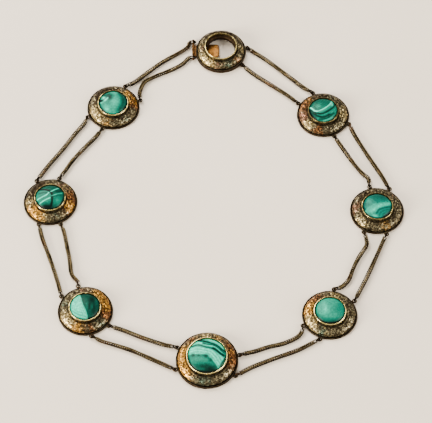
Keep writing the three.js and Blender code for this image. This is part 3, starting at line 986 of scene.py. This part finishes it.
# %% The stones' charts
STONES = {
    "upper_right": [
        ("ground", 0.6, 0),
        ("side", 0.42, 0.1,
         (-0.95, 0.2), (-0.54, -0.08), (-0.15, 0.02), (0.2, 0.22), (0.5, 0.55), (0.6, 0.8)),
        ("wash", 0.68, 0, (-0.35, 0.3), (0.22, 0.14)),
        ("stripes", 0.06, 0.15, (-0.95, 0.2), (-0.54, -0.08), (-0.15, 0.02), (0.2, 0.22), (0.6, 0.8)),
        ("line", 0.0, 0.06,
         (-0.9, -0.05), (-0.5, -0.28), (-0.13, -0.33), (0.35, -0.08), (0.72, 0.28), (0.8, 0.5)),
        ("line", 0.08, 0.07, (-0.75, -0.3), (-0.4, -0.56), (0.05, -0.6), (0.45, -0.4)),
        ("line", 0.2, 0.05, (-0.3, -0.78), (0.2, -0.72), (0.75, -0.3)),
        ("line", 0.85, 0.06, (0.0, -0.95), (0.35, -0.88), (0.65, -0.7)),
        ("line", 0.15, 0.1, (-0.97, -0.1), (-0.88, -0.45), (-0.6, -0.8)),
        ("line", 1.0, 0.042,
         (-0.95, 0.18), (-0.54, -0.1), (-0.18, 0.0), (0.2, 0.22), (0.46, 0.49), (0.6, 0.73)),
        ("line", 1.05, 0.04, (-0.93, 0.17), (-0.6, -0.05), (-0.45, -0.08)),
        ("wash", 0.9, 0, (0.62, 0.45), (0.1, 0.16)),
    ],
    "right": [
        ("ground", 0.54, 0),
        ("side", 0.42, 0.3, (-0.9, -0.5), (-0.4, -0.05), (0.0, 0.25), (0.5, 0.42), (0.95, 0.5)),
        ("wash", 0.33, 0, (0.15, 0.72), (0.4, 0.12)),
        ("wash", 0.6, 0, (-0.6, 0.45), (0.25, 0.25)),
        ("line", 0.85, 0.14, (-0.42, -0.4), (-0.1, -0.12), (0.35, 0.12), (0.86, 0.22)),
        ("line", 0.75, 0.15, (-0.75, -0.35), (-0.5, -0.1), (-0.2, 0.1)),
        ("line", 0.28, 0.05, (-0.1, -0.6), (0.08, -0.3), (0.4, -0.14), (0.85, -0.05)),
        ("line", 0.38, 0.05, (0.1, -0.75), (0.25, -0.45), (0.5, -0.33), (0.85, -0.3)),
        ("line", 0.42, 0.05, (0.35, -0.75), (0.5, -0.55), (0.8, -0.5)),
        ("wash", 0.85, 0, (-0.25, -0.85), (0.2, 0.15)),
        ("wash", 0.1, 0, (-0.9, -0.28), (0.12, 0.12)),
        ("line", 0.3, 0.1, (0.5, -0.88), (0.85, -0.5), (0.98, -0.1)),
    ],
    "lower_right": [
        ("ground", 0.62, 0),
        # This pale wash left of the middle is a painted sheen, a soft reflection of the light.
        ("wash", 0.86, 0, (-0.35, 0.25), (0.22, 0.5)),
        ("wash", 0.56, 0, (0.65, 0.1), (0.35, 0.6)),
        ("wash", 0.7, 0, (0.1, 0.75), (0.5, 0.2)),
        ("side", 0.4, 0.5, (1.0, -0.35), (0.5, -0.62), (0.0, -0.68), (-0.6, -0.5), (-1.0, -0.1)),
        ("wash", 0.22, 0, (0.0, -0.98), (0.6, 0.2)),
        ("line", 0.42, 0.08, (-0.96, 0.3), (-0.98, -0.1), (-0.8, -0.55)),
    ],
    "centre": [
        ("ground", 0.86, 0),
        ("stripes", 0.06, 0.14, (-0.93, 0.3), (-0.4, 0.45), (0.1, 0.35), (0.5, 0.0), (0.8, -0.5)),
        ("line", -0.1, 0.034, (-0.4, 0.86), (0.1, 0.8), (0.51, 0.57), (0.9, 0.24)),
        ("line", 0.1, 0.024, (-0.2, 0.74), (0.2, 0.66), (0.55, 0.44), (0.9, 0.12)),
        ("line", 0.22, 0.036, (-0.8, 0.5), (-0.4, 0.6), (0.0, 0.54), (0.4, 0.33), (0.82, 0.0)),
        ("line", 0.05, 0.046, (0.3, 0.42), (0.6, 0.2), (0.86, -0.02)),
        ("side", 0.53, 0.1,
         (0.5, -0.95), (0.5, -0.6), (0.19, -0.18), (-0.16, 0.06), (-0.5, 0.1), (-0.95, 0.0)),
        ("wash", 0.2, 0, (-0.72, 0.0), (0.09, 0.08)), ("wash", 0.2, 0, (-0.45, 0.02), (0.07, 0.06)),
        ("wash", 0.12, 0, (-0.05, -0.02), (0.14, 0.1)), ("wash", 0.2, 0, (0.18, -0.28), (0.12, 0.14)),
        ("wash", 0.62, 0, (-0.35, -0.2), (0.3, 0.14)), ("wash", 0.56, 0, (-0.7, -0.3), (0.16, 0.12)),
        ("wash", 0.55, 0, (0.12, -0.42), (0.14, 0.1)), ("wash", 0.5, 0, (-0.45, -0.6), (0.1, 0.08)),
        ("wash", 0.2, 0, (-0.2, -0.62), (0.46, 0.16)), ("wash", 0.0, 0, (0.15, -0.85), (0.4, 0.2)),
        ("line", 0.3, 0.04, (0.72, -0.6), (0.85, -0.35), (0.97, -0.05)),
    ],
    "lower_left": [
        ("ground", 0.86, 0),
        ("stripes", 0.03, 0.12, (-0.37, 0.88), (-0.1, 0.2), (0.18, -0.6), (0.2, -0.95)),
        ("line", 0.7, 0.04, (-0.85, -0.3), (-0.4, -0.62), (0.15, -0.8)),
        ("line", 0.8, 0.03, (-0.9, -0.05), (-0.35, -0.42), (0.12, -0.55)),
        ("side", 0.3, 0.07, (-0.37, 0.9), (-0.1, 0.2), (0.17, -0.6), (0.2, -0.95)),
        ("wash", 0.45, 0, (0.12, 0.1), (0.14, 0.4)),
        ("wash", 0.03, 0, (0.45, 0.5), (0.2, 0.22)), ("wash", 0.12, 0, (0.3, 0.1), (0.08, 0.3)),
        ("wash", 0.12, 0, (0.6, -0.2), (0.12, 0.35)),
        ("wash", 0.4, 0, (0.75, 0.45), (0.1, 0.3)), ("wash", 0.42, 0, (0.5, -0.05), (0.06, 0.14)),
    ],
    "left": [
        ("ground", 0.36, 0),
        ("stripes", 0.07, 0.17, (-0.8, -0.3), (-0.3, 0.2), (0.2, 0.45), (0.8, 0.5)),
        ("side", 0.54, 0.15,
         (0.12, -0.8), (0.14, -0.3), (0.1, 0.25), (-0.2, 0.55), (-0.6, 0.62), (-0.95, 0.3)),
        ("side", 0.38, 0.5, (1.0, -0.5), (0.3, -0.3), (-0.4, -0.5), (-1.0, -0.6)),
        ("wash", 0.66, 0, (0.55, -0.3), (0.3, 0.3)), ("wash", 0.22, 0, (0.65, 0.45), (0.25, 0.12)),
        ("line", 0.3, 0.05, (-0.75, 0.25), (-0.4, 0.38), (-0.15, 0.3)),
        ("line", 1.1, 0.03, (-0.9, -0.31), (-0.52, 0.0), (-0.2, 0.2), (-0.07, 0.4)),
        ("line", 1.1, 0.03, (-0.72, -0.6), (-0.34, -0.24), (0.0, -0.06)),
        ("line", -0.15, 0.046, (-0.8, 0.62), (-0.24, 0.6), (0.1, 0.3), (0.15, -0.1), (0.14, -0.7)),
        ("line", 1.05, 0.03, (0.05, 0.44), (0.3, 0.56), (0.55, 0.68)),
        ("line", 0.85, 0.03, (0.12, 0.08), (0.45, 0.2), (0.9, 0.32)),
        ("wash", -0.3, 0, (-0.15, -0.85), (0.34, 0.22)), ("line", 0.1, 0.06, (-0.95, -0.25), (-0.75, -0.68)),
    ],
    "upper_left": [
        ("ground", 0.63, 0),
        ("wash", 0.8, 0, (0.1, 0.1), (0.28, 0.42)), ("wash", 0.8, 0, (0.12, 0.82), (0.4, 0.14)),
        ("wash", 0.86, 0, (-0.45, -0.55), (0.25, 0.25)),
        ("wash", 0.12, 0, (-0.3, 0.5), (0.22, 0.3)),
        ("line", 0.3, 0.07, (-0.7, 0.7), (-0.45, 0.6), (-0.2, 0.62)),
        ("line", 0.3, 0.13, (0.45, 0.82), (0.62, 0.57), (0.7, 0.1), (0.48, -0.65)),
        ("line", 0.6, 0.03, (0.7, 0.65), (0.83, 0.2), (0.7, -0.5)),
        ("line", 0.2, 0.1, (0.85, 0.5), (0.95, 0.05), (0.8, -0.5)),
        ("line", 0.3, 0.06, (-0.97, -0.1), (-0.8, -0.45), (-0.6, -0.75)),
        ("line", 1.0, 0.06, (-0.84, -0.04), (-0.6, 0.15), (-0.4, 0.4)),
        ("wash", 1.1, 0, (-0.7, 0.42), (0.12, 0.1)), ("wash", -0.6, 0, (-0.9, 0.1), (0.17, 0.1)),
    ],
}
print("charts:", {name: len(marks) for name, marks in STONES.items()})

# %% Malachite finish
def malachite():
    """The charted shade, roughened by fine noise, looked up in a line of greens from black to mint."""
    finish = Finish("malachite", metallic=0.0, roughness=0.3)
    finish.shader.inputs["Specular IOR Level"].default_value = 0.05
    fine, slow = finish.noise(0.9, detail=4), finish.noise(3.5, detail=3, layer=5.0)
    shade = finish.maths("MULTIPLY_ADD", fine, 0.38, finish.attribute("shade"))
    shade = finish.maths("MULTIPLY_ADD", slow, 0.18, finish.maths("SUBTRACT", shade, 0.28))
    colour = finish.ramp(shade, [
        (0.0, linear(5, 15, 12)), (0.2, linear(6, 38, 29)), (0.4, linear(8, 66, 52)),
        (0.6, linear(14, 104, 82)), (0.8, linear(28, 150, 120)), (1.0, linear(70, 226, 186)),
    ])
    cool = finish.between(finish.attribute("cool"), 0.0, 1.0, 0.0, 0.6)
    colour = finish.mix(cool, colour, finish.mix(shade, linear(0, 40, 50), linear(0, 170, 170)))
    return finish.done(colour)


MALACHITE = malachite()
COOL = {"right": 0.2, "lower_right": 0.1}
print("bluer stones:", COOL)

# %% Stones in their settings

def stone_piece(station, seed):
    """The dome turned round its axis, with the chart laid on it as it shows from the front."""
    size = STATION_SIZES[station]
    rows, radius = cabochon_rows(size)
    angle = np.linspace(0, 2 * math.pi, STONE_SEGMENTS, endpoint=False)
    u, v = rows[:, :1] / radius * np.cos(angle), rows[:, :1] / radius * np.sin(angle)
    level = rows[:, 1:] + 0 * u
    cx, cy = CENTRES[station]
    points = np.stack([cx + radius * u, cy + radius * v, level], -1)
    seen_v = v + (level - size["lip"]) * VIEW_SLANT / radius
    values = {"shade": stone_shade(STONES[station], u, seen_v, seed), "cool": COOL.get(station, 0.0)}
    quads = grid_quads(len(rows), STONE_SEGMENTS, wrap_rows=False)
    grid = {"points": points, "quads": quads, "values": values}
    piece = make_piece(f"cabochon_{station}", [grid], [MALACHITE])
    close_poles(piece, STONE_SEGMENTS)
    return piece


stones = {name: stone_piece(name, seed) for seed, name in enumerate(STONES, start=20)}
for name, piece in stones.items():
    settle(piece, f"stone_{name}")
print("stones:", list(stones))


# %% [markdown]
# ## Chains
# A foxtail chain is made of wire links. Each is a long oval, folded in two like a hairpin, and the next
# one passes through both of its ends, so four rows of rounded wire show along the chain. Curves with a
# bevel would do, but the collar has some five hundred links, so one link of eighty faces is worked out
# as an array and placed along each route as one joined mesh.

# %% One link
LINK_WIRE = 0.3
LINK_HALF_WIDTH = (CHAIN_THICKNESS - 2 * LINK_WIRE) / 2
LINK_STATIONS, LINK_SIDES = 16, 5
LINK_REACH = 2.7
LINK_TAPER = 0.3


def folded_link():
    """One link about the origin, lying along X. An oval is followed round; its long way is wrapped
    round a half circle, which folds it, and its short way stands upright. The wire is a small polygon
    carried along it, square to the sheet that the oval was folded from."""
    turn = np.linspace(0, 2 * math.pi, LINK_STATIONS, endpoint=False)
    fine = np.linspace(0, 2 * math.pi, 40 * LINK_STATIONS, endpoint=False)

    def line(angle):
        """The wire's middle at each angle round the oval, and the direction square to its sheet."""
        run = LINK_REACH * np.cos(angle)
        quarter = math.pi / 2 * LINK_HALF_WIDTH
        fold = np.clip(run / LINK_HALF_WIDTH, -math.pi / 2, math.pi / 2)
        straight = np.maximum(np.abs(run) - quarter, 0)
        x = -LINK_HALF_WIDTH * np.cos(fold) + straight
        y = LINK_HALF_WIDTH * np.sin(fold)
        z = LINK_HALF_WIDTH * np.sin(angle)
        sheet = np.stack([-np.cos(fold), np.sin(fold), 0 * fold], -1)
        return np.stack([x, y, z], -1), sheet

    middle, sheet = line(turn)
    step = 2 * math.pi / len(fine)
    travel = line(turn + step)[0] - line(turn - step)[0]
    travel /= np.linalg.norm(travel, axis=1)[:, None]
    rise = np.cross(travel, sheet)
    side = np.linspace(0, 2 * math.pi, LINK_SIDES, endpoint=False)
    cosine, sine = np.cos(side)[None, :, None], np.sin(side)[None, :, None]
    ring = LINK_WIRE * (cosine * sheet[:, None] + sine * rise[:, None])
    link = middle[:, None] + ring
    link[..., 1:] *= 1 - LINK_TAPER * np.clip((link[..., :1] + LINK_HALF_WIDTH) / LINK_REACH, 0, 1)
    return link


print("one link:", LINK_STATIONS * LINK_SIDES, "points,", np.ptp(folded_link()[..., 0]).round(2), "mm long")

# %% Links along a route
LINK_PITCH = 1.25
ROLL_SPAN, ROLL_SPREAD = 9, 22


def chain_links(route, seed):
    """The link, copied to every pitch of a route, turned to its direction, with a slight roll. A link
    whose corner would sink into the floor is raised until it rests on it."""
    spots, travel = evenly(route, LINK_PITCH)
    link = folded_link().reshape(-1, 3)
    draw = np.random.default_rng(seed)
    knots = np.arange(0, len(spots) + ROLL_SPAN, ROLL_SPAN)
    rolls = draw.normal(0, ROLL_SPREAD, len(knots))
    roll = np.radians(90 + np.interp(np.arange(len(spots)), knots, rolls))
    ahead = np.hstack([travel, np.zeros((len(spots), 1))])
    left = np.stack([-travel[:, 1], travel[:, 0], np.zeros(len(spots))], -1)
    up = np.array([0.0, 0.0, 1.0])
    side = np.cos(roll)[:, None] * left + np.sin(roll)[:, None] * up
    top = np.cos(roll)[:, None] * up - np.sin(roll)[:, None] * left
    middle = np.hstack([spots, np.full((len(spots), 1), CHAIN_THICKNESS / 2)])
    points = (middle[:, None] + link[None, :, :1] * ahead[:, None] + link[None, :, 1:2] * side[:, None]
              + link[None, :, 2:] * top[:, None])
    points[..., 2] -= np.minimum(points[..., 2].min(axis=1), 0)[:, None]
    quads = grid_quads(LINK_STATIONS, LINK_SIDES)
    per_link = LINK_STATIONS * LINK_SIDES
    quads = (quads[None] + per_link * np.arange(len(spots))[:, None, None]).reshape(-1, 4)
    outward = np.hypot(link[:, 1], link[:, 2]) / (CHAIN_THICKNESS / 2)
    height = points[..., 2] / CHAIN_THICKNESS
    # Lighter towards the top and the outer edges: rubbed wear and painted light; lower, painted shade.
    wear = outward[None, :] * np.clip(height * 1.6 - 0.6, 0, 1)
    return {"points": points, "quads": quads, "values": {"wear": wear}}, len(spots)


straight = chain_links(np.array([[0.0, 0.0], [10.0, 0.0]]), 1)
print("ten millimetres of chain:", straight[1], "links")

# %% Oxidised silver finish
def oxidised_silver():
    """Near-black brown down the sides and between the wires, oxide with painted shade, and greyish
    tan along the top, rubbed bare and with painted light.
    """
    finish = Finish("oxidised_silver", metallic=1.0, roughness=0.5)
    rub_and_light = finish.maths("MULTIPLY_ADD", finish.noise(3, detail=4), 0.7, finish.attribute("wear"))
    colour = finish.mix(finish.between(rub_and_light, 0.75, 1.3), linear(26, 20, 12), linear(100, 85, 56))
    warm = finish.noise(9, detail=3, layer=8.0)
    colour = finish.mix(finish.between(warm, 0.55, 0.7, 0.0, 0.5), colour, linear(92, 60, 36))
    darkening = finish.noise(0.9, detail=3, layer=12.0)
    colour = finish.mix(finish.between(darkening, 0.48, 0.62, 0.0, 0.8), colour, linear(22, 16, 9))
    return finish.done(colour, finish.between(rub_and_light, 0.8, 1.3, 0.6, 0.42))


CHAIN_METAL = oxidised_silver()
print("chain finish:", CHAIN_METAL.name)

# %% Chains on their routes
LOOP_RADIUS, LOOP_WIRE = 1.15, 0.4
EYE_LOOP = {"past": 1.1, "half_length": 1.2}
BAR_LOOP = {"past": 0.45, "half_length": 1.6}
LINK_OVERHANG = 0.3


def end_loop(holder, direction, past, half_length):
    """The ring at a chain's end, and the place where its first link starts."""
    centre = holder + past * direction
    ring = wire_ring((*centre, LOOP_HEIGHT), LOOP_RADIUS, LOOP_WIRE, (-direction[1], direction[0], 0),
                     stretch=half_length / LOOP_RADIUS, around=24, sides=8)
    ring["values"] = {"wear": 0.0}
    return ring, centre + (half_length + LINK_OVERHANG) * direction


def unit(vector):
    """The vector divided by its length."""
    return vector / np.hypot(*vector)


def chain_piece(side, station, leaves, meets, sway, seed):
    """The links and the two end loops of one route, as one piece. Gives the number of links."""
    start, end = holders(side, station, leaves, meets)
    bends = bend_points(start, end, sway)
    first_ring, first = end_loop(start, unit(bends[0] - start), **EYE_LOOP)
    if meets == "bar":
        last_ring, last = end_loop(end, np.array([-1.0, 0.0]), **BAR_LOOP)
    else:
        last_ring, last = end_loop(end, unit(bends[-1] - end), **EYE_LOOP)
    links, count = chain_links(smooth_route([first, *bends, last]), seed)
    name = f"{side}_{station}_to_{next_station(station)}"
    piece = make_piece(f"links_{name}", [links, first_ring, last_ring], [CHAIN_METAL])
    settle(piece, f"chain_{name}")
    return count


link_count = sum(chain_piece(*chain, seed) for seed, chain in enumerate(CHAINS, start=50))
print("chains:", len(CHAINS), "with", link_count, "links")


# %% [markdown]
# ## The clasp's tongue
# A flat copper tongue slides into a slot in the side of the stoneless roundel and shows through its
# empty setting. Its outer end is rolled into a sleeve round a cross bar, whose knobs keep the two end
# loops on. The plate is a flat rounded section carried along X, and the bar and the sleeve are turned
# about Y. The slot is cut with a Boolean, because it crosses a surface that is otherwise round.

# %% Copper tongue
TONGUE = {"end": -1.0, "half_width": 4.6, "shift": -0.7, "half_thickness": 0.4, "height": 1.1, "corner": 1.6,
          "neck": 2.1, "neck_half_width": 4.0}
BAR = {"half_length": 6.5, "radius": 0.55, "knob": 0.8}
SLEEVE = {"half_length": 3.6, "radius": 0.74}
CLASP_PLACE = np.array([*CENTRES["clasp"], 0.0])


def tongue_plate():
    """The section is a superellipse. It is narrower in the neck beside the bar. Towards the free end it
    narrows along a rounded corner and thins along a rounded edge, until it closes."""
    turn = np.linspace(0, 2 * math.pi, 40, endpoint=False)
    flat_y = np.sign(np.cos(turn)) * np.abs(np.cos(turn)) ** 0.25
    flat_z = np.sign(np.sin(turn)) * np.abs(np.sin(turn)) ** 0.5
    neck_end = BAR_X + TONGUE["neck"]
    x = np.concatenate([[BAR_X, BAR_X, BAR_X + 1, neck_end - 0.08, neck_end + 0.08],
                        np.linspace(neck_end + 0.5, TONGUE["end"] - 2, 10),
                        TONGUE["end"] - 2 * (1 - np.sin(np.linspace(0.1, math.pi / 2, 16)))])
    corner = np.clip((x - TONGUE["end"] + TONGUE["corner"]) / TONGUE["corner"], 0, 1)
    width = TONGUE["half_width"] - TONGUE["corner"] * (1 - np.sqrt(1 - corner ** 2))
    width[x < neck_end] = TONGUE["neck_half_width"]
    edge = np.clip((x - TONGUE["end"] + 0.4) / 0.4, 0, 1)
    thickness = TONGUE["half_thickness"] * np.sqrt(1 - 0.97 * edge ** 2)
    width[0], thickness[0] = 0.05, 0.05
    y = BAR_Y + TONGUE["shift"] + width[:, None] * flat_y
    z = TONGUE["height"] + thickness[:, None] * flat_z
    points = np.stack([x[:, None] + 0 * y, y, z], -1) + CLASP_PLACE
    # Darkest under the clasp's rim, fading inside the setting: painted shade; darker too out to the bar.
    under_rim = np.interp(x, [BAR_X + 1, BAR_X + 2, -9, -6], [0.75, 0.9, 1.0, 0.0])[:, None]
    return {"points": points, "quads": grid_quads(len(x), len(turn), wrap_rows=False),
            "values": {"darkening": under_rim}}, len(turn)


print("tongue's plate:", 2 * TONGUE["half_width"], "mm wide")

# %% Cross bar and sleeve
BAR_COLUMNS = 20


def turned_about_y(profile, columns=BAR_COLUMNS, wrap_rows=False):
    """A profile of places along Y and radii, turned about the cross bar's axis."""
    turn = np.linspace(0, 2 * math.pi, columns, endpoint=False)
    place, radius = np.array(profile, float).T
    x = BAR_X + radius[:, None] * np.cos(turn)
    z = LOOP_HEIGHT + radius[:, None] * np.sin(turn)
    points = np.stack([x, BAR_Y + place[:, None] + 0 * x, z], -1) + CLASP_PLACE
    darkening = np.clip(np.abs(place) / 5, 0.6, 1)[:, None]
    quads = grid_quads(len(profile), columns, wrap_rows)
    return {"points": points, "quads": quads, "values": {"darkening": darkening}}


def bar_profile():
    """A wire with a ball at each end."""
    ball = np.linspace(0.05, math.radians(140), 9)
    tip = [(-BAR["half_length"] - BAR["knob"] * math.cos(a), BAR["knob"] * math.sin(a)) for a in ball]
    tip += [(-5.0, BAR["radius"]), (-4.2, BAR["radius"])]
    return [*tip, *[(-place, radius) for place, radius in tip[::-1]]]


def sleeve_profile():
    """A tube with rounded ends, closed inside the wire that it hugs."""
    end, outside = SLEEVE["half_length"], SLEEVE["radius"]
    return [(-end, 0.4), (-end, outside - 0.1), (-end + 0.1, outside), (-0.03, outside), (0, outside - 0.05),
            (0.03, outside), (end - 0.1, outside), (end, outside - 0.1), (end, 0.4)]


print("cross bar:", 2 * (BAR["half_length"] + BAR["knob"]), "mm long")

# %% Copper finish and the finished tongue
def warm_copper():
    """Orange copper with a gilt remainder and random brown stains, deep brown where the mesh's darkening
    value is high, which under the clasp's rim is painted shade.
    """
    finish = Finish("warm_copper", metallic=1.0, roughness=0.34)
    patches = finish.noise(2.0, detail=5)
    colour = finish.mix(finish.between(patches, 0.35, 0.65), linear(150, 100, 44), linear(106, 70, 32))
    stains = finish.noise(1.1, detail=4, layer=6.0)
    colour = finish.mix(finish.between(stains, 0.52, 0.68, 0.0, 0.7), colour, linear(70, 42, 22))
    darkening = finish.between(finish.attribute("darkening"), 0.0, 1.0, 0.0, 0.9)
    colour = finish.mix(darkening, colour, linear(44, 28, 18))
    finish.relief(finish.noise(0.5, detail=3, layer=9.0), 0.04)
    return finish.done(colour, finish.between(patches, 0.3, 0.7, 0.38, 0.5))


plate, plate_columns = tongue_plate()
tongue = make_piece("copper_tongue", [plate], [warm_copper()])
close_poles(tongue, plate_columns)
bar = make_piece("cross_bar", [turned_about_y(bar_profile())], [tongue.data.materials[0]])
close_poles(bar, BAR_COLUMNS)
sleeve = make_piece("sleeve", [turned_about_y(sleeve_profile(), wrap_rows=True)], [tongue.data.materials[0]])
for piece in (tongue, bar, sleeve):
    settle(piece, "clasp_tongue")
print("tongue: plate, cross bar and sleeve")

# %% Slot in the clasp's rim
SLOT = {"half_width": 4.9, "low": 0.4, "high": 1.8, "depth": 4.2, "outside": 0.5}


def box_piece(name, low, high):
    """A plain box between two corners, in millimetres."""
    corners = [(x, y, z) for x in (low[0], high[0]) for y in (low[1], high[1]) for z in (low[2], high[2])]
    faces = [(0, 1, 3, 2), (4, 6, 7, 5), (0, 4, 5, 1), (2, 3, 7, 6), (0, 2, 6, 4), (1, 5, 7, 3)]
    mesh = bpy.data.meshes.new(name)
    mesh.from_pydata((np.array(corners) * MM).tolist(), [], faces)
    mesh.materials.append(METALS[2])
    piece = bpy.data.objects.new(name, mesh)
    bpy.context.scene.collection.objects.link(piece)
    return piece


def cut_slot(metal):
    """Takes a box out of the metal, keeps the result as its mesh, and removes the box."""
    middle = CLASP_PLACE[1] + BAR_Y + TONGUE["shift"]
    left = CLASP_PLACE[0] - CLASP["rim"] - SLOT["outside"]
    box = box_piece("slot", (left, middle - SLOT["half_width"], SLOT["low"]),
                    (left + SLOT["depth"], middle + SLOT["half_width"], SLOT["high"]))
    step = metal.modifiers.new("slot", "BOOLEAN")
    step.operation, step.solver, step.object = "DIFFERENCE", "EXACT", box
    bpy.context.view_layer.update()
    cut_mesh = bpy.data.meshes.new_from_object(metal.evaluated_get(bpy.context.evaluated_depsgraph_get()))
    metal.modifiers.clear()
    metal.data = cut_mesh
    bpy.data.objects.remove(box)
    return len(cut_mesh.polygons)


print("clasp after its slot is cut:", cut_slot(metals["clasp"]), "faces")

# %% The end
print("the collar is built")
